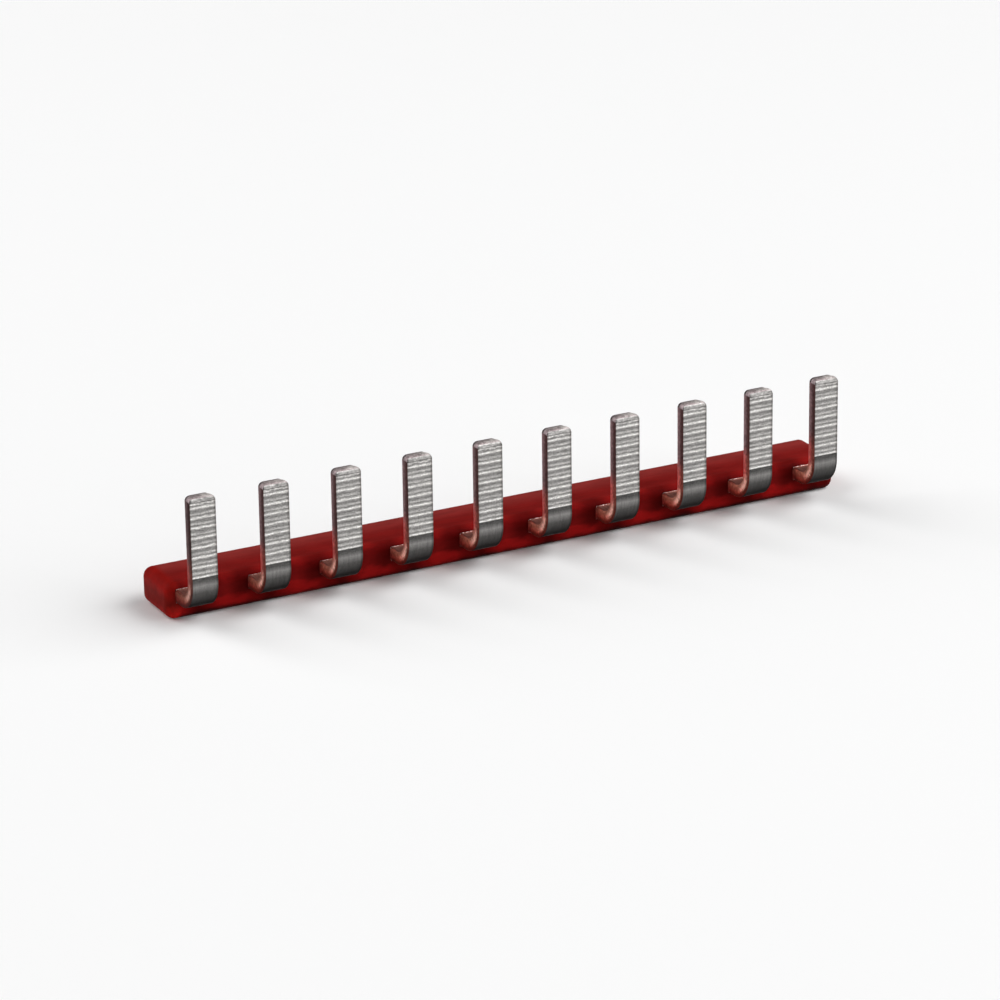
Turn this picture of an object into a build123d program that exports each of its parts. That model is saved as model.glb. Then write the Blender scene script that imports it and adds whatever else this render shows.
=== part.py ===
"""Ten-way plug-in jumper for a row of terminal blocks.

A flat comb is stamped from copper strip, tinned, and its ten tines are bent up by a right angle.
The comb's spine is moulded into a round-edged plastic bar, and only the tines stand out of it.

Millimetres. +X runs along the row of tines, the tines' ribbed faces look towards -Y, and they
point up, along +Z. The origin is at the middle of the whole jumper's footprint, under the bar.
"""

import os

from build123d import *

# The row of tines
pitch = 6.2
tine_count = 10
tine_width = 2.2
tine_height = 11.23

# The strip that the comb is stamped from, and its bend
strip_thickness = 1.05
bend_radius = 2.4
tine_underside = 1.56
drawn_edge = 0.13

# The tines' tips
tip_corner_radius = 0.38
tip_bevel_height = 0.42
tip_bevel_depth = 0.2

# The ribs coined across each tine's front face
rib_pitch = 0.815
rib_width = 0.36
rib_height = 0.08
first_rib_drop = 0.8

# The moulded bar, and how deep the comb's spine lies in it
bar_depth = 5.34
bar_height = 3.0
bar_edge_radius = 0.79
left_overhang = 0.68
right_overhang = 1.87
tine_stand_off = 3.4
spine_wall = 0.6

# Lengths along the row
comb_length = (tine_count - 1) * pitch + tine_width
bar_length = left_overhang + comb_length + right_overhang
row_middle = (left_overhang - right_overhang) / 2

# Places across the row, from the ribs' crests at the front to the bar's back face
overall_depth = rib_height + tine_stand_off + bar_depth
tine_front = rib_height - overall_depth / 2
tine_back = tine_front + strip_thickness
bar_front = tine_front + tine_stand_off
bar_back = bar_front + bar_depth
spine_front = bar_front + spine_wall
spine_back = bar_back - spine_wall

# Heights over the bar's underside
tine_topside = tine_underside + strip_thickness
bend_z = tine_underside + bend_radius
bevel_z = tine_height - tip_bevel_height

# The ribs run down the flat front face, as many as it has room for above the bend
first_rib_z = tine_height - first_rib_drop
ribbed_length = first_rib_z - rib_width / 2 - bend_z
rib_heights = [first_rib_z - index * rib_pitch for index in range(int(ribbed_length / rib_pitch) + 1)]

os.makedirs("parts", exist_ok=True)

# The section of one coined rib: a low round crest on a flat foot.
with BuildSketch() as rib_section:
    with BuildLine():
        ThreePointArc((0, -rib_width / 2), (-rib_height, 0), (0, rib_width / 2))
        Line((0, rib_width / 2), (0, -rib_width / 2))
    make_face()

# One tine. Its root, its bend and the upright with the bevelled tip are one side profile of the strip.
with BuildPart() as tine:
    with BuildSketch(Plane.YZ):
        with BuildLine():
            FilletPolyline(
                (spine_front, tine_underside),
                (tine_front, tine_underside),
                (tine_front, bevel_z),
                radius=bend_radius,
            )
            Line((tine_front, bevel_z), (tine_front + tip_bevel_depth, tine_height))
            Line((tine_front + tip_bevel_depth, tine_height), (tine_back, tine_height))
            FilletPolyline(
                (tine_back, tine_height),
                (tine_back, tine_topside),
                (spine_front, tine_topside),
                radius=bend_radius - strip_thickness,
            )
            Line((spine_front, tine_topside), (spine_front, tine_underside))
        make_face()
    extrude(amount=tine_width / 2, both=True)

    tip_face = tine.faces().sort_by(Axis.Z)[-1]
    fillet(tip_face.edges().filter_by(Axis.Y), tip_corner_radius)

    # The punch drew in the edges of the inner side. The cut starts at the tip's back edge and runs on
    # through all that are tangent to it: down both sides, round the bend and along the root.
    back_face = tine.faces().filter_by(Axis.Y).sort_by(Axis.Y)[-2]
    tip_back_edge = back_face.edges().filter_by(Axis.X).sort_by(Axis.Z)[-1]
    chamfer(tip_back_edge, drawn_edge)

    with BuildSketch(Plane.YZ):
        with Locations(*[(tine_front, height) for height in rib_heights]):
            add(rib_section.sketch)
    extrude(amount=tine_width / 2, both=True)

# The comb: one flat spine, with the ten tines along its front edge at the blocks' pitch.
with BuildPart() as contact_comb:
    with BuildSketch(Plane.XY.offset(tine_underside)):
        with Locations((row_middle, (spine_front + spine_back) / 2)):
            Rectangle(comb_length, spine_back - spine_front)
    extrude(amount=strip_thickness)
    with Locations((row_middle, 0)):
        with GridLocations(pitch, 0, tine_count, 1):
            add(tine.part)
contact_comb.part.label = "contact_comb"
export_step(contact_comb.part, "parts/contact_comb.step")

# The bar: a block with every edge rounded, moulded round the spine and the tines' roots.
with BuildPart() as insulating_bar:
    with BuildSketch(Plane.XY):
        with Locations((0, (bar_front + bar_back) / 2)):
            Rectangle(bar_length, bar_depth)
    extrude(amount=bar_height)
    fillet(insulating_bar.edges(), bar_edge_radius)
    add(contact_comb.part, mode=Mode.SUBTRACT)
insulating_bar.part.label = "insulating_bar"
export_step(insulating_bar.part, "parts/insulating_bar.step")
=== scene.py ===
import math

import bmesh
import bpy
from mathutils import Matrix, Vector


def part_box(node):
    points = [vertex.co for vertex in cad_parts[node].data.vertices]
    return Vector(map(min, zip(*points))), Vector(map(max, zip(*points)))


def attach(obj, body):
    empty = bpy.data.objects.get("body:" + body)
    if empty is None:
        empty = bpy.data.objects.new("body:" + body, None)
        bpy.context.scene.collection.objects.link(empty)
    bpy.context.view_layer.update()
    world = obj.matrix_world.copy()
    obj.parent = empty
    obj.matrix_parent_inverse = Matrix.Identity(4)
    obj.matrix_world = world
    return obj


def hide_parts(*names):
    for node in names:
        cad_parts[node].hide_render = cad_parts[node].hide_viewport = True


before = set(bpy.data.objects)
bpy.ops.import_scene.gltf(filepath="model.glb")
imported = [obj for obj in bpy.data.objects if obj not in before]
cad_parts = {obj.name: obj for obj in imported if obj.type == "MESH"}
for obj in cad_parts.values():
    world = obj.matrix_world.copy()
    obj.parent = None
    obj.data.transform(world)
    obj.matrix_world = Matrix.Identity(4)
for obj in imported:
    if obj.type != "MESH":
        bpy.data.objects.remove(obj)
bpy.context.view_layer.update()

# Camera. The jumper is seen from its tines' side, over its left end, through a long lens. The camera
# looks at the tines near the middle of the row, and leans by less than a degree.
look_at = Vector((-0.002892, -0.00433, 0.00623))
azimuth = math.radians(27.308)
elevation = math.radians(20.579)
roll = math.radians(-0.788)
distance = 0.364879
sensor_width = 36.0
focal_length = 4.60539 * sensor_width
nearest_seen = 0.01
farthest_seen = 20.0

forward = Vector((
    math.sin(azimuth) * math.cos(elevation),
    math.cos(azimuth) * math.cos(elevation),
    -math.sin(elevation),
))
level_right = Vector((math.cos(azimuth), -math.sin(azimuth), 0.0))
level_up = level_right.cross(forward)
right = math.cos(roll) * level_right + math.sin(roll) * level_up
up = math.cos(roll) * level_up - math.sin(roll) * level_right
camera_turn = Matrix((right, up, -forward)).transposed()
camera_place = look_at - distance * forward
bpy.ops.object.camera_add(location=camera_place, rotation=camera_turn.to_euler())
camera = bpy.context.object
camera.data.sensor_width = sensor_width
camera.data.lens = focal_length
camera.data.clip_start = nearest_seen
camera.data.clip_end = farthest_seen
bpy.context.scene.camera = camera
bpy.context.scene.view_settings.view_transform = "Standard"

# Studio. A plain white floor, a dim even room, a large soft lamp high on the right in front,
# and a smaller one behind on the left.
floor_size = 3.0
floor_white = (0.96, 0.96, 0.96, 1)
room_white = (1, 1, 1, 1)
room_strength = 0.13
key_place = Vector((0.8, -0.6, 0.7))
key_size = 1.5
key_power = 22.0
rim_place = Vector((-0.6, 0.5, 0.55))
rim_size = 0.8
rim_power = 5.8

bpy.ops.mesh.primitive_plane_add(size=floor_size, location=(0, 0, 0))
floor = bpy.context.object
floor.name = "floor"
floor_paint = bpy.data.materials.new("floor_paint")
floor_paint.use_nodes = True
floor_shader = floor_paint.node_tree.nodes["Principled BSDF"]
floor_shader.inputs["Base Color"].default_value = floor_white
floor_shader.inputs["Roughness"].default_value = 1.0
floor_shader.inputs["Specular IOR Level"].default_value = 0.0
floor.data.materials.append(floor_paint)

room = bpy.data.worlds.new("room")
bpy.context.scene.world = room
room.use_nodes = True
background = room.node_tree.nodes["Background"]
background.inputs["Color"].default_value = room_white
background.inputs["Strength"].default_value = room_strength

for lamp_name, place, size, power in (
    ("key_lamp", key_place, key_size, key_power),
    ("rim_lamp", rim_place, rim_size, rim_power),
):
    bpy.ops.object.light_add(type="AREA", location=place)
    lamp = bpy.context.object
    lamp.name = lamp_name
    lamp.data.size = size
    lamp.data.energy = power
    lamp.rotation_euler = (-place).to_track_quat("-Z", "Y").to_euler()

# Contact comb. One comb stamped from copper strip that is already tinned, with ribs coined across
# the fronts of its ten tines, which are then bent up. Its spine lies hidden in the bar, and the
# tines' roots come out of the bar's front.
mm = 0.001
comb_low, comb_high = (Vector(corner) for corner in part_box("contact_comb"))
bar_low, bar_high = (Vector(corner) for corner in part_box("insulating_bar"))

tine_count = 10
tine_width = 2.2 * mm
half_tine = tine_width / 2
strip_thickness = 1.05 * mm
bend_radius = 2.4 * mm
bend_steps = 16
rolled_edge = 0.15 * mm
rolled_edge_segments = 3
burr_edge = 0.06 * mm
burr_edge_segments = 2
tip_corner = 0.38 * mm
tip_bevel_height = 0.42 * mm
tip_bevel_depth = 0.2 * mm
tip_front_round = 0.2 * mm
tip_back_round = 0.28 * mm
tip_back_corners = ((-1, 0.48 * mm), (1, 0.72 * mm))
tip_rows = 10
rib_pitch = 0.815 * mm
first_rib_drop = 0.8 * mm
rib_count = 8
rib_proud = 0.08 * mm
front_columns = 10
spine_wall = 0.6 * mm
root_depth = 0.9 * mm
crest_waver = 0.01 * mm
bead = 0.05 * mm
bead_width = 0.12 * mm
smooth_angle = math.radians(50)
hair = 0.0001 * mm

# Heights over a rib's middle line, and how far the front stands out there, in rib heights
rib_section = (
    (-0.37 * mm, 0.0),
    (-0.27 * mm, 0.05),
    (-0.17 * mm, 0.35),
    (-0.09 * mm, 0.75),
    (-0.04 * mm, 0.9),
    (0.01 * mm, 0.8),
    (0.05 * mm, 0.3),
    (0.09 * mm, -0.1),
    (0.15 * mm, -0.2),
    (0.22 * mm, 0.0),
    (0.28 * mm, 0.2),
    (0.34 * mm, 0.15),
    (0.41 * mm, 0.0),
)

tine_pitch = (comb_high.x - comb_low.x - tine_width) / (tine_count - 1)
first_tine_x = comb_low.x + half_tine
tine_front = comb_low.y + rib_proud
tine_underside = comb_low.z
strip_middle = tine_underside + strip_thickness / 2
tine_top = comb_high.z - hair
bevel_start = tine_top - tip_bevel_height
bend_centre = Vector((first_tine_x, tine_front + bend_radius, tine_underside + bend_radius))
spine_front = bar_low.y + spine_wall
spine_back = comb_high.y
root_end = spine_front + root_depth
rib_middles = [tine_top - first_rib_drop - index * rib_pitch for index in range(rib_count)]


def pick(*pieces):
    """Select these pieces alone, with the first of them active."""
    bpy.ops.object.select_all(action="DESELECT")
    for piece in pieces:
        piece.select_set(True)
    bpy.context.view_layer.objects.active = pieces[0]


def select_where(piece, test):
    """Select the vertices whose places pass the test, and no others."""
    shape = bmesh.from_edit_mesh(piece.data)
    for vertex in shape.verts:
        vertex.select = test(vertex.co)
    shape.select_flush(True)
    shape.select_flush(False)
    bmesh.update_edit_mesh(piece.data)


def raise_ring(step):
    """Extrude the selected ring of edges by the step."""
    bpy.ops.mesh.extrude_region_move(TRANSFORM_OT_translate={"value": step})


def near(value, target):
    """Whether two lengths are the same but for a hair."""
    return abs(value - target) < hair


def round_in(drop, radius):
    """How far a round edge stands back at a drop below its top."""
    return radius - math.sqrt(radius ** 2 - max(radius - drop, 0) ** 2)


# The strip's section is laid out inside the spine, and its ring of edges is drawn out from there
bpy.ops.object.select_all(action="DESELECT")
bpy.ops.mesh.primitive_plane_add(
    size=1.0,
    location=(first_tine_x, root_end, strip_middle),
    rotation=(math.pi / 2, 0, 0),
)
tine = bpy.context.object
tine.name = "tine"
tine.scale = (tine_width, strip_thickness, 1)
bpy.ops.object.transform_apply(location=True, rotation=True, scale=True)

bpy.ops.object.mode_set(mode="EDIT")
bpy.ops.mesh.select_mode(type="VERT")
select_where(tine, lambda point: point.z > tine_underside + hair)
bpy.ops.mesh.bevel(affect="VERTICES", offset=rolled_edge, segments=rolled_edge_segments)
select_where(tine, lambda point: near(point.z, tine_underside))
bpy.ops.mesh.bevel(affect="VERTICES", offset=burr_edge, segments=burr_edge_segments)
select_where(tine, lambda point: near(point.z, tine_underside))
bpy.ops.mesh.subdivide(number_cuts=front_columns - 1)
bpy.ops.mesh.select_all(action="SELECT")
bpy.ops.mesh.delete(type="ONLY_FACE")
bpy.ops.mesh.select_all(action="SELECT")

# The root with a bead round it where it leaves the plastic, the bend, and the upright with a row of
# points at each change of its front
raise_ring((0, bar_low.y - root_end, 0))
for swelling in (bead, -bead):
    raise_ring((0, -bead_width / 2, 0))
    bpy.ops.transform.resize(
        value=(1 + 2 * swelling / tine_width, 1, 1 + 2 * swelling / strip_thickness),
        center_override=(first_tine_x, bar_low.y, strip_middle),
    )
raise_ring((0, bend_centre.y - bar_low.y + bead_width, 0))
bpy.ops.mesh.spin(steps=bend_steps, angle=math.pi / 2, center=bend_centre, axis=(1, 0, 0))
row_heights = [bend_centre.z]
for middle in reversed(rib_middles):
    row_heights += [middle + offset for offset, _ in rib_section]
for low, high in zip(row_heights, row_heights[1:]):
    raise_ring((0, 0, high - low))

# The swaged tip: quarter rounds for corners, a front that slants back, and round edges to the top
level = row_heights[-1]
half_width = half_tine
front = tine_front
thickness = strip_thickness
narrowed = {-1: 0.0, 1: 0.0}
for row in range(tip_rows + 1):
    height = bevel_start + tip_bevel_height * math.sin(math.pi / 2 * row / tip_rows)
    drop = tine_top - height
    new_half_width = half_tine - round_in(drop, tip_corner)
    slant = tip_bevel_depth * (1 - drop / tip_bevel_height)
    new_front = tine_front + slant + round_in(drop, tip_front_round)
    new_thickness = tine_front + strip_thickness - round_in(drop, tip_back_round) - new_front
    raise_ring((0, new_front - front, height - level))
    bpy.ops.transform.resize(
        value=(new_half_width / half_width, new_thickness / thickness, 1),
        center_override=(first_tine_x, new_front, height),
    )
    level, front = height, new_front
    half_width, thickness = new_half_width, new_thickness
    for side, radius in tip_back_corners:
        select_where(tine, lambda point: (
            near(point.z, height)
            and point.y > front + thickness / 2
            and side * (point.x - first_tine_x) > 0
        ))
        narrowing = round_in(drop, radius) - round_in(drop, tip_corner)
        bpy.ops.transform.translate(value=(-side * (narrowing - narrowed[side]), 0, 0))
        narrowed[side] = narrowing
    select_where(tine, lambda point: near(point.z, height))
bpy.ops.mesh.edge_face_add()
select_where(tine, lambda point: near(point.y, root_end))
bpy.ops.mesh.edge_face_add()

# The coining pushes the front out at the ribs
for offset, proud in rib_section:
    select_where(tine, lambda point: (
        near(point.y, tine_front)
        and any(near(point.z, middle + offset) for middle in rib_middles)
    ))
    bpy.ops.transform.translate(value=(0, -proud * rib_proud, 0))
bpy.ops.mesh.select_all(action="SELECT")
bpy.ops.mesh.normals_make_consistent(inside=False)
bpy.ops.object.mode_set(mode="OBJECT")

# The other nine are copies, and each gets its own unevenness: the ribs' crests waver a little
tines = [tine]
for index in range(1, tine_count):
    pick(tine)
    bpy.ops.object.duplicate()
    copy = bpy.context.object
    copy.location.x = index * tine_pitch
    bpy.ops.object.transform_apply(location=True, rotation=False, scale=False)
    tines.append(copy)
for index, copy in enumerate(tines):
    pick(copy)
    bpy.ops.object.mode_set(mode="EDIT")
    select_where(copy, lambda point: point.y < tine_front - 0.5 * rib_proud)
    bpy.ops.transform.translate(value=(0, crest_waver, 0))
    bpy.ops.transform.vertex_random(offset=crest_waver, uniform=1.0, normal=0.0, seed=index)
    bpy.ops.object.mode_set(mode="OBJECT")

# The spine, joined with the tines into one piece
bpy.ops.object.select_all(action="DESELECT")
bpy.ops.mesh.primitive_cube_add(
    size=1.0,
    location=((comb_low.x + comb_high.x) / 2, (spine_front + spine_back) / 2, strip_middle),
)
comb = bpy.context.object
comb.name = "comb"
comb.scale = (comb_high.x - comb_low.x, spine_back - spine_front, strip_thickness)
bpy.ops.object.transform_apply(location=True, rotation=True, scale=True)
pick(*tines)
bpy.ops.object.join()
pick(comb)
fusing = comb.modifiers.new("fusing", "BOOLEAN")
fusing.operation = "UNION"
fusing.solver = "EXACT"
fusing.object = tine
bpy.ops.object.modifier_apply(modifier=fusing.name)
bpy.data.objects.remove(tine)
bpy.ops.object.shade_smooth_by_angle(angle=smooth_angle)


def add_node(tree, kind, inputs=None, **settings):
    """Add one node, with its settings, and its inputs linked or set."""
    node = tree.nodes.new(kind)
    for name, value in settings.items():
        setattr(node, name, value)
    for socket, value in (inputs or {}).items():
        if isinstance(value, bpy.types.NodeSocket):
            tree.links.new(value, node.inputs[socket])
        else:
            node.inputs[socket].default_value = value
    return node


def new_finish(name):
    """Start a material and return it with its node tree, its shader and the place on the piece."""
    finish = bpy.data.materials.new(name)
    finish.use_nodes = True
    tree = finish.node_tree
    place = add_node(tree, "ShaderNodeTexCoord").outputs["Object"]
    return finish, tree, tree.nodes["Principled BSDF"], place


def split_place(tree, place):
    """A point's places along the row, across it and up."""
    axes = add_node(tree, "ShaderNodeSeparateXYZ", {"Vector": place})
    return axes.outputs["X"], axes.outputs["Y"], axes.outputs["Z"]


def math_node(tree, operation, first, second=0.0, third=0.0):
    inputs = {0: first, 1: second, 2: third}
    return add_node(tree, "ShaderNodeMath", inputs, operation=operation).outputs[0]


def times(tree, first, *others):
    """Multiply two or more values."""
    product = first
    for other in others:
        product = math_node(tree, "MULTIPLY", product, other)
    return product


def fade(tree, value, start, end):
    """Rise smoothly from 0 to 1 while the value goes from start to end, upwards or downwards."""
    inputs = {"Value": value, "From Min": start, "From Max": end}
    node = add_node(tree, "ShaderNodeMapRange", inputs, interpolation_type="SMOOTHSTEP")
    return node.outputs["Result"]


def as_colour(value):
    """Give a plain colour the fourth number that its socket needs."""
    return (*value, 1) if isinstance(value, tuple) else value


def mix_colours(tree, share, first, second, blend="MIX"):
    """Turn the first colour into the second one, as far as the share says."""
    inputs = {0: share, 6: as_colour(first), 7: as_colour(second)}
    return add_node(tree, "ShaderNodeMix", inputs, data_type="RGBA", blend_type=blend).outputs[2]


def tint(tree, share, colour, tinge):
    """Multiply the colour by a tinge, as far as the share says."""
    return mix_colours(tree, share, colour, tinge, "MULTIPLY")


def noise(tree, place, grain, detail=3.0, roughness=0.55):
    """Noise from 0 to 1, with grains of these lengths in millimetres along X, Y and Z."""
    mapping = add_node(tree, "ShaderNodeMapping", {
        "Vector": place, "Scale": tuple(1 / (mm * length) for length in grain)})
    node = add_node(tree, "ShaderNodeTexNoise", {
        "Vector": mapping.outputs["Vector"], "Scale": 1.0, "Detail": detail, "Roughness": roughness})
    return node.outputs["Fac"]


def waver(tree, value, pattern, amount):
    """Move a value up and down with a noise pattern, by up to half the amount."""
    return math_node(tree, "MULTIPLY_ADD", math_node(tree, "SUBTRACT", pattern, 0.5), amount, value)


def colour_ramp(tree, value, stops):
    """Turn a value into a colour. Each stop is a value from 0 to 1 and its grey or colour."""
    ramp = add_node(tree, "ShaderNodeValToRGB", {"Fac": value})
    elements = ramp.color_ramp.elements
    while len(elements) > 1:
        elements.remove(elements[-1])
    for index, (position, colour) in enumerate(stops):
        element = elements[0] if index == 0 else elements.new(position)
        element.position = position
        element.color = (*colour, 1) if isinstance(colour, tuple) else (colour, colour, colour, 1)
    return ramp.outputs["Color"]


def ramp_by_height(tree, height, top, stops):
    """Turn a height into a colour. Each stop is a height in millimetres and its grey or colour."""
    share = math_node(tree, "DIVIDE", height, top)
    return colour_ramp(tree, share, [(stop * mm / top, colour) for stop, colour in stops])


def beside_tine(tree, along):
    """How far a point lies to the right of the nearest tine's middle line."""
    from_first = math_node(tree, "SUBTRACT", along, first_tine_x)
    return math_node(tree, "WRAP", from_first, tine_pitch / 2, -tine_pitch / 2)


def depth_in_strip(tree, across, height):
    """How deep a point lies behind the strip's outer side: along the root, round the bend and up."""
    behind = math_node(tree, "MINIMUM", math_node(tree, "SUBTRACT", across, bend_centre.y), 0.0)
    below = math_node(tree, "MINIMUM", math_node(tree, "SUBTRACT", height, bend_centre.z), 0.0)
    spread = add_node(tree, "ShaderNodeCombineXYZ", {"X": behind, "Y": below, "Z": 0.0})
    from_centre = add_node(tree, "ShaderNodeVectorMath", {0: spread.outputs["Vector"]}, operation="LENGTH")
    return math_node(tree, "SUBTRACT", bend_radius, from_centre.outputs["Value"])


def spread_roughness(tree, shader, pattern, smoothest, roughest):
    """Let the shader's roughness follow a noise pattern."""
    spread = add_node(tree, "ShaderNodeMapRange", {
        "Value": pattern, "From Min": 0.3, "From Max": 0.7, "To Min": smoothest, "To Max": roughest})
    tree.links.new(spread.outputs["Result"], shader.inputs["Roughness"])


def add_relief(tree, shader, pattern, strength, depth):
    """Let a noise pattern raise and sink the surface a little."""
    relief = add_node(tree, "ShaderNodeBump", {"Height": pattern, "Strength": strength, "Distance": depth})
    tree.links.new(relief.outputs["Normal"], shader.inputs["Normal"])


# Tin plate on the rolled faces. Light and shade are painted into its colour: painted highlights along
# the ribs' crests and on the tip, painted shade where each rib falls away, round the bend and along the
# tines' edges, and a painted reflection of the red bar on top of the roots.
rib_waver = 0.1 * mm
tip_waver = 0.25 * mm
tip_blotches = (0.4, 0.3, 0.22)
beside_bar_start = bar_low.y - 1.4 * mm
beside_bar_end = bar_low.y - 0.7 * mm
right_edge_painted_shade = (0.4, 0.38, 0.37)
left_edge_painted_shade = (0.75, 0.72, 0.71)
inner_tin = (0.5, 0.46, 0.45)
root_top_red_reflection = (0.58, 0.24, 0.2)
root_edge_painted_shade = (0.4, 0.2, 0.2)
tip_rim_painted_shade = (0.09, 0.075, 0.075)
bead_painted_shade = (0.4, 0.4, 0.4)
bead_painted_glint = (0.9, 0.65, 0.65)
warm_tinge = (1.0, 0.97, 0.94)
tin_specular = (0.45, 0.45, 0.45, 1)

# The front's painted light and shade: from one rib's middle down to the next, by share of the pitch,
# bright at the crests and dark where each rib falls away
rib_painted_shading = (
    (0.0, 0.84), (0.05, 0.86), (0.11, 0.62), (0.19, 0.33), (0.29, 0.25), (0.4, 0.235), (0.5, 0.35),
    (0.59, 0.52), (0.67, 0.48), (0.76, 0.26), (0.83, 0.27), (0.91, 0.43), (0.97, 0.7),
)
# From the root up to the lowest rib, and on the bevel, by height in millimetres: painted shade, darkest
# round the bend, and a painted highlight near the bevel's top
plain_painted_shading = (
    (1.56, 0.008), (2.1, 0.014), (2.5, 0.045), (2.9, 0.07), (3.34, 0.1), (3.7, 0.19), (3.95, 0.26),
    (4.15, 0.16), (4.35, 0.1), (4.55, 0.085), (10.8, 0.19), (10.95, 0.17), (11.03, 0.24), (11.1, 0.38),
    (11.16, 0.5),
)
# A painted highlight: how much brighter a narrow band above the highest rib is, by height in millimetres
tip_painted_highlight = ((10.5, 1.0), (10.59, 1.0), (10.67, 1.45), (10.76, 1.25), (10.88, 1.12), (11.0, 1.0))

tin_plate, tree, tin_shader, place = new_finish("tin_plate")
along, across, height = split_place(tree, place)
depth = depth_in_strip(tree, across, height)
right_of_middle = beside_tine(tree, along)

at_tip = fade(tree, height, rib_middles[0], rib_middles[0] + 0.3 * mm)
waves = noise(tree, place, (0.45, 0.45, 0.3), detail=2.0)
wave_height = math_node(tree, "MULTIPLY_ADD", at_tip, tip_waver, rib_waver)
wavy_height = waver(tree, height, waves, wave_height)
turn = math_node(tree, "DIVIDE", math_node(tree, "SUBTRACT", rib_middles[0], wavy_height), rib_pitch)
rib_colour = colour_ramp(tree, math_node(tree, "FRACT", turn), rib_painted_shading)
plain_colour = ramp_by_height(tree, wavy_height, tine_top, plain_painted_shading)
from_ribs = fade(tree, height, rib_middles[-1] - 0.12 * mm, rib_middles[-1] - 0.08 * mm)
to_bevel = fade(tree, height, bevel_start, bevel_start - 0.03 * mm)
front_colour = mix_colours(tree, times(tree, from_ribs, to_bevel), plain_colour, rib_colour)
front_colour = tint(tree, 1.0, front_colour, ramp_by_height(tree, wavy_height, tine_top, tip_painted_highlight))
# Painted shade along both edges of each tine's front, darker at the right
right_edge = fade(tree, right_of_middle, half_tine - 0.3 * mm, half_tine)
front_colour = tint(tree, right_edge, front_colour, right_edge_painted_shade)
left_edge = fade(tree, right_of_middle, 0.12 * mm - half_tine, -half_tine)
front_colour = tint(tree, left_edge, front_colour, left_edge_painted_shade)

# A painted reflection of the red bar on top of the roots, and painted shade at their edges beside the bar
on_root = fade(tree, height, bend_centre.z - 0.1 * mm, bend_centre.z - 0.9 * mm)
inner_colour = mix_colours(tree, on_root, inner_tin, root_top_red_reflection)
at_edges = fade(tree, math_node(tree, "ABSOLUTE", right_of_middle), 0.8 * mm, 1.05 * mm)
beside_bar = fade(tree, across, beside_bar_start, beside_bar_end)
inner_colour = tint(tree, times(tree, at_edges, beside_bar, on_root), inner_colour, root_edge_painted_shade)
# A dark rim of painted shade round the tip's rounded inner edge
on_rounding = fade(tree, depth, 0.99 * strip_thickness, 0.94 * strip_thickness)
tip_rim = times(tree, on_rounding, fade(tree, height, bevel_start, bevel_start + 0.1 * mm))
inner_colour = mix_colours(tree, tip_rim, inner_colour, tip_rim_painted_shade)
inner_side = fade(tree, depth, 0.4 * strip_thickness, 0.6 * strip_thickness)
tin_colour = mix_colours(tree, inner_side, front_colour, inner_colour)

specks = noise(tree, place, (0.12, 0.12, 0.12), detail=4.0)
# The bead where the root meets the plastic gets painted shade, and painted glints in specks
at_bead = math_node(tree, "COMPARE", across, bar_low.y, 0.75 * bead_width)
tin_colour = tint(tree, at_bead, tin_colour, bead_painted_shade)
tin_colour = mix_colours(tree, times(tree, at_bead, fade(tree, specks, 0.49, 0.57)), tin_colour, bead_painted_glint)

# Streaks run across the tines on their ribs, and calmer ones run down the bends. Specks lie all over,
# and blotches at the tips.
streaks_across = noise(tree, place, (0.5, 0.5, 0.07), detail=4.0)
streaks_down = waver(tree, 0.5, noise(tree, place, (0.16, 0.6, 1.2)), 0.45)
on_ribs = fade(tree, height, rib_middles[-1] - 0.6 * mm, rib_middles[-1] - 0.2 * mm)
streaks = add_node(tree, "ShaderNodeMix", {0: on_ribs, 2: streaks_down, 3: streaks_across}).outputs[0]
streak_greys = colour_ramp(tree, streaks, ((0.3, 0.64), (0.5, 1.0), (0.72, 1.33)))
tin_colour = tint(tree, 1.0, tin_colour, streak_greys)
speck_share = math_node(tree, "MULTIPLY_ADD", on_ribs, 0.6, 0.4)
speck_greys = colour_ramp(tree, specks, ((0.3, 0.6), (0.5, 1.0), (0.7, 1.35)))
tin_colour = tint(tree, speck_share, tin_colour, speck_greys)
blotches = noise(tree, place, tip_blotches)
blotch_greys = colour_ramp(tree, blotches, ((0.36, 0.72), (0.5, 0.95), (0.64, 1.15)))
tin_colour = tint(tree, at_tip, tin_colour, blotch_greys)
tin_colour = tint(tree, 1.0, tin_colour, warm_tinge)
tree.links.new(tin_colour, tin_shader.inputs["Base Color"])
tin_shader.inputs["Metallic"].default_value = 1.0
tin_shader.inputs["Specular Tint"].default_value = tin_specular
spread_roughness(tree, tin_shader, specks, smoothest=0.32, roughest=0.46)
add_relief(tree, tin_shader, streaks, strength=0.35, depth=0.02 * mm)

# Bare copper where the strip is sheared. It is dark and torn towards the outer side and smooth at the
# inner side. Light and shade are painted over it: a painted reflection of the red bar low down and near
# the plastic, a painted highlight in a crescent in the bend, painted shade along the top and right edges
# and on the tip's rim, and painted light along the row, dullest at its left end.
torn_copper = (0.056, 0.024, 0.024)
smooth_copper = (0.18, 0.11, 0.116)
torn_red_reflection = (0.19, 0.05, 0.038)
smooth_red_reflection = (0.52, 0.11, 0.1)
torn_bend = (0.1, 0.02, 0.014)
smooth_bend = (0.33, 0.13, 0.09)
root_side_red_reflection = (0.22, 0.05, 0.042)
crescent_painted_highlight = (0.95, 0.51, 0.42)
top_edge_painted_shade = (0.5, 0.28, 0.28)
right_side_painted_shade = (0.42, 0.6, 0.62)
tip_copper = (0.3, 0.25, 0.25)
tip_top_painted_light = (0.55, 0.51, 0.49)
tip_side_copper = (0.34, 0.27, 0.28)
copper_tip_rim_shade = (0.05, 0.038, 0.038)
copper_specular = (0.5, 0.35, 0.33, 1)

# How far a face looks sideways or up where the strip is sheared
sheared_side_tilt = 0.5
sheared_tip_tilt = 0.6

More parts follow.
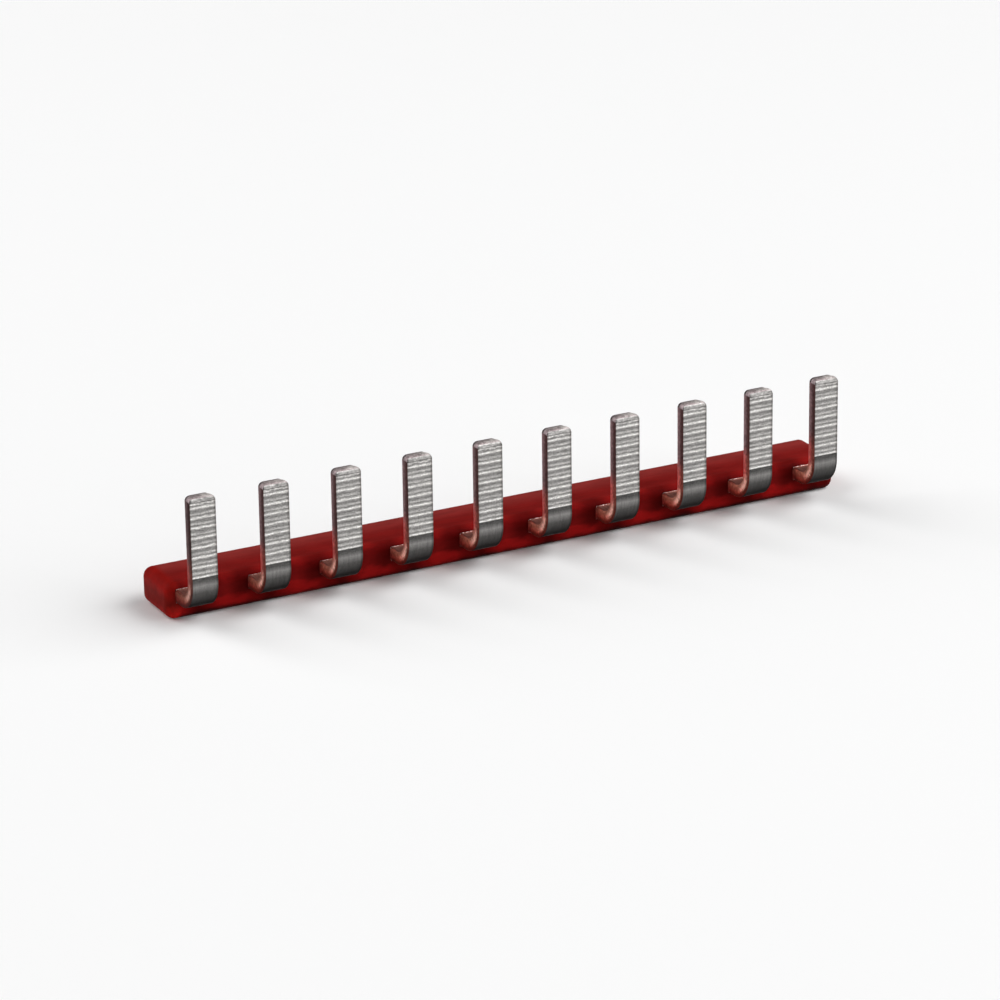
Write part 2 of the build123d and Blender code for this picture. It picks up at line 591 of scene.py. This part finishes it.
# A painted reflection of the red bar on the bend's side, by height in millimetres
bend_side_red_reflection = (
    (1.6, (1.1, 1.0, 1.0)), (1.8, (1.15, 0.45, 0.45)), (2.0, (1.0, 0.4, 0.4)), (2.2, (1.0, 0.6, 0.6)),
    (2.4, (1.0, 0.7, 0.67)), (2.6, (1.0, 0.9, 0.87)), (2.8, 1.0),
)
# Painted light and shade: how bright the sides are, by share of the row's length
row_painted_light = ((0.0, 0.58), (0.1, 0.98), (0.33, 1.1), (0.6, 1.18), (0.88, 1.25), (1.0, 1.1))

sheared_copper, tree, copper_shader, place = new_finish("sheared_copper")
along, across, height = split_place(tree, place)
depth = depth_in_strip(tree, across, height)
right_of_middle = beside_tine(tree, along)

grain = noise(tree, place, (0.1, 0.1, 0.22), detail=4.0)
torn_depth = waver(tree, depth, grain, 0.35 * strip_thickness)
smooth_share = fade(tree, torn_depth, 0.25 * strip_thickness, 0.8 * strip_thickness)
upright_colour = mix_colours(tree, smooth_share, torn_copper, smooth_copper)
# Low down the torn and smooth zones carry a painted reflection of the red bar
low_colour = mix_colours(tree, smooth_share, torn_red_reflection, smooth_red_reflection)
low_share = fade(tree, height, bar_high.z + 3.8 * mm, bar_high.z + 1.9 * mm)
upright_colour = mix_colours(tree, low_share, upright_colour, low_colour)

# Round the bend the torn and smooth zones are real, and their dark reds are partly painted shade and a
# painted reflection of the red bar
bend_share = fade(tree, torn_depth, 0.12 * strip_thickness, 0.5 * strip_thickness)
bend_colour = mix_colours(tree, bend_share, torn_bend, smooth_bend)

# Round the bend goes from 0, where it leaves the root, to 1, where it reaches the upright
before_centre = math_node(tree, "MAXIMUM", math_node(tree, "SUBTRACT", bend_centre.y, across), 0.0)
under_centre = math_node(tree, "MAXIMUM", math_node(tree, "SUBTRACT", bend_centre.z, height), 0.0)
both_ways = math_node(tree, "ADD", before_centre, under_centre)
round_bend = math_node(tree, "DIVIDE", before_centre, both_ways)
# A painted highlight: a bright crescent on the smooth zone in the bend
off_outside = fade(tree, torn_depth, 0.25 * strip_thickness, 0.55 * strip_thickness)
off_inside = fade(tree, torn_depth, 0.9 * strip_thickness, 0.55 * strip_thickness)
in_crescent = times(tree, off_outside, off_inside, fade(tree, round_bend, 0.2, 0.5))
bend_colour = mix_colours(tree, in_crescent, bend_colour, crescent_painted_highlight)
# A painted reflection of the red bar on the side near the plastic
near_bar = times(tree, fade(tree, across, bar_low.y - 0.8 * mm, bar_low.y), 0.6)
bend_colour = mix_colours(tree, near_bar, bend_colour, root_side_red_reflection)
bend_colour = tint(tree, 1.0, bend_colour, ramp_by_height(tree, height, tine_top, bend_side_red_reflection))
# Painted shade along the side's top edge beside the bar
top_edge = fade(tree, depth, 0.84 * strip_thickness, 0.97 * strip_thickness)
beside_bar = fade(tree, across, beside_bar_start, beside_bar_end)
bend_colour = tint(tree, times(tree, top_edge, beside_bar), bend_colour, top_edge_painted_shade)
at_bend = fade(tree, height, bend_centre.z + 0.3 * mm, bend_centre.z - 0.8 * mm)
copper_colour = mix_colours(tree, at_bend, upright_colour, bend_colour)

row_share = add_node(tree, "ShaderNodeMapRange", {
    "Value": along, "From Min": comb_low.x, "From Max": comb_high.x})
row_painted_greys = colour_ramp(tree, row_share.outputs["Result"], row_painted_light)
copper_colour = tint(tree, 1.0, copper_colour, row_painted_greys)
# Painted shade on the right side of each tine
right_side = fade(tree, right_of_middle, half_tine - 0.2 * mm, half_tine - 0.05 * mm)
copper_colour = tint(tree, right_side, copper_colour, right_side_painted_shade)

# The tip's top is brighter to the right, a painted highlight, and a dark rim of painted shade lies round
# its inner half
on_tip = fade(tree, height, bevel_start - 0.02 * mm, bevel_start + 0.1 * mm)
copper_colour = mix_colours(tree, on_tip, copper_colour, tip_side_copper)
on_top = fade(tree, height, tine_top - 0.15 * mm, tine_top - 0.05 * mm)
to_the_right = waver(tree, right_of_middle, noise(tree, place, tip_blotches), 3.0 * mm)
right_share = fade(tree, to_the_right, -0.6 * mm, 0.8 * mm)
tip_colour = mix_colours(tree, right_share, tip_copper, tip_top_painted_light)
copper_colour = mix_colours(tree, on_top, copper_colour, tip_colour)
tip_rim = times(tree, on_tip, fade(tree, depth, 0.6 * strip_thickness, 0.77 * strip_thickness))
copper_colour = mix_colours(tree, tip_rim, copper_colour, copper_tip_rim_shade)

grain_greys = colour_ramp(tree, grain, ((0.3, 0.7), (0.5, 1.0), (0.7, 1.3)))
copper_colour = tint(tree, 1.0, copper_colour, grain_greys)
mottle = noise(tree, place, (0.3, 0.3, 0.3), detail=2.0)
mottle_greys = colour_ramp(tree, mottle, ((0.35, 0.75), (0.5, 1.0), (0.65, 1.25)))
copper_colour = tint(tree, 1.0, copper_colour, mottle_greys)
tree.links.new(copper_colour, copper_shader.inputs["Base Color"])
copper_shader.inputs["Metallic"].default_value = 0.35
copper_shader.inputs["Roughness"].default_value = 0.45
copper_shader.inputs["IOR"].default_value = 1.2
copper_shader.inputs["Specular Tint"].default_value = copper_specular
add_relief(tree, copper_shader, grain, strength=0.5, depth=0.03 * mm)

comb.data.materials.append(tin_plate)
comb.data.materials.append(sheared_copper)
for face in comb.data.polygons:
    on_side = abs(face.normal.x) > sheared_side_tilt
    on_tip_end = face.normal.z > sheared_tip_tilt and face.center.z > bevel_start
    face.material_index = 1 if on_side or on_tip_end else 0
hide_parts("contact_comb")
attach(comb, "root")

# Insulating bar. One block of red plastic with every edge rounded, moulded round the comb's spine.
# Light and shade are painted on it: painted shadows of the tines darken its front beside their roots
# and under their bends, lighter between them; painted shade darkens its right end, painted light
# lightens its left end and low left corner, and a painted sheen lies towards the back.
bar_red = (0.2, 0.009, 0.008)
bar_back_painted_sheen = (0.25, 0.029, 0.026)
end_green_blue = (0.008, 0.006)
right_end_painted_shade = (0.4, 0.45, 0.45)
low_corner_painted_light = (1.7, 1.4, 1.4)

# Reds of the front and of the left end, by height in millimetres, with painted light and shade: the
# front darker at its bottom edge and in its middle, with a lighter band low down, and the left end
# darker in its middle
front_painted_shading = (
    (0.0, 0.06), (0.15, 0.07), (0.4, 0.19), (0.55, 0.25), (0.72, 0.28), (0.84, 0.3), (1.02, 0.27),
    (1.4, 0.13), (2.0, 0.115), (2.5, 0.135), (2.9, 0.2),
)
left_end_painted_light = ((0.0, 0.3), (0.45, 0.26), (0.9, 0.18), (1.65, 0.165), (2.55, 0.27), (3.0, 0.25))

# Painted shadows of the tines: how bright the front is low and high on the bar, by millimetres to the
# right of a tine's middle line
low_painted_shadows = (
    (-3.1, 1.0), (-2.0, 1.0), (-1.4, 0.95), (-1.0, 0.68), (-0.6, 0.5), (0.2, 0.36), (0.6, 0.22),
    (1.0, 0.2), (1.4, 0.35), (1.8, 0.48), (2.2, 0.62), (2.6, 0.85), (3.1, 1.0),
)
high_painted_shadows = (
    (-3.1, 1.5), (-2.6, 1.38), (-2.2, 1.12), (-1.8, 0.9), (-1.4, 0.84), (-0.9, 0.73), (-0.3, 0.95),
    (0.3, 1.2), (1.0, 1.2), (2.6, 1.2), (3.1, 1.5),
)


def front_red(red):
    """Add the little green and blue that the front's plastic has."""
    green_blue = 0.002 + 0.018 * red
    return red, green_blue, green_blue


def ramp_beside_tine(tree, right_of_middle, stops):
    """Turn a place beside a tine into a colour. Each stop is a place in millimetres and its grey."""
    share = math_node(tree, "MULTIPLY_ADD", right_of_middle, 1 / tine_pitch, 0.5)
    return colour_ramp(tree, share, [(0.5 + stop * mm / tine_pitch, grey) for stop, grey in stops])


bar_plastic, tree, bar_shader, place = new_finish("red_plastic")
along, across, height = split_place(tree, place)
right_of_middle = beside_tine(tree, along)
cloudy_height = waver(tree, height, noise(tree, place, (1.6, 0.9, 0.9)), 1.2 * mm)

# A painted sheen towards the back
back_share = fade(tree, across, bar_high.y - 3.4 * mm, bar_high.y - 0.8 * mm)
bar_colour = mix_colours(tree, back_share, bar_red, bar_back_painted_sheen)
front_stops = [(stop, front_red(red)) for stop, red in front_painted_shading]
front_colour = ramp_by_height(tree, cloudy_height, bar_high.z, front_stops)
front_share = fade(tree, across, bar_low.y + 0.7 * mm, bar_low.y + 0.15 * mm)
bar_colour = mix_colours(tree, front_share, bar_colour, front_colour)

low_colour = ramp_beside_tine(tree, right_of_middle, low_painted_shadows)
high_colour = ramp_beside_tine(tree, right_of_middle, high_painted_shadows)
high_share = fade(tree, cloudy_height, 0.95 * mm, 1.25 * mm)
tine_painted_shadows = mix_colours(tree, high_share, low_colour, high_colour)
near_front = fade(tree, across, bar_low.y + 1.4 * mm, bar_low.y + 0.5 * mm)
bar_colour = tint(tree, near_front, bar_colour, tine_painted_shadows)

# Painted shade at the right end, and painted light on the left end and its low corner
right_end = fade(tree, along, bar_high.x - 2.2 * mm, bar_high.x - 0.6 * mm)
bar_colour = tint(tree, times(tree, right_end, near_front), bar_colour, right_end_painted_shade)
end_stops = [(stop, (red, *end_green_blue)) for stop, red in left_end_painted_light]
end_colour = ramp_by_height(tree, cloudy_height, bar_high.z, end_stops)
left_end = fade(tree, along, bar_low.x + 1.3 * mm, bar_low.x + 0.7 * mm)
bar_colour = mix_colours(tree, left_end, bar_colour, end_colour)
low_front = times(tree, front_share, fade(tree, cloudy_height, 1.4 * mm, 0.9 * mm))
low_corner = times(tree, low_front, fade(tree, along, bar_low.x + 2.0 * mm, bar_low.x + 1.2 * mm))
bar_colour = tint(tree, low_corner, bar_colour, low_corner_painted_light)

clouds = noise(tree, place, (2.5, 0.8, 0.8), detail=4.0)
cloud_greys = colour_ramp(tree, clouds, ((0.3, 0.85), (0.5, 1.0), (0.7, 1.12)))
bar_colour = tint(tree, 1.0, bar_colour, cloud_greys)
tree.links.new(bar_colour, bar_shader.inputs["Base Color"])
bar_shader.inputs["IOR"].default_value = 1.06
scuffs = noise(tree, place, (0.9, 0.12, 0.12), detail=5.0, roughness=0.65)
spread_roughness(tree, bar_shader, scuffs, smoothest=0.32, roughest=0.5)
add_relief(tree, bar_shader, scuffs, strength=0.25, depth=0.02 * mm)
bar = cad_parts["insulating_bar"]
bar.data.materials.clear()
bar.data.materials.append(bar_plastic)
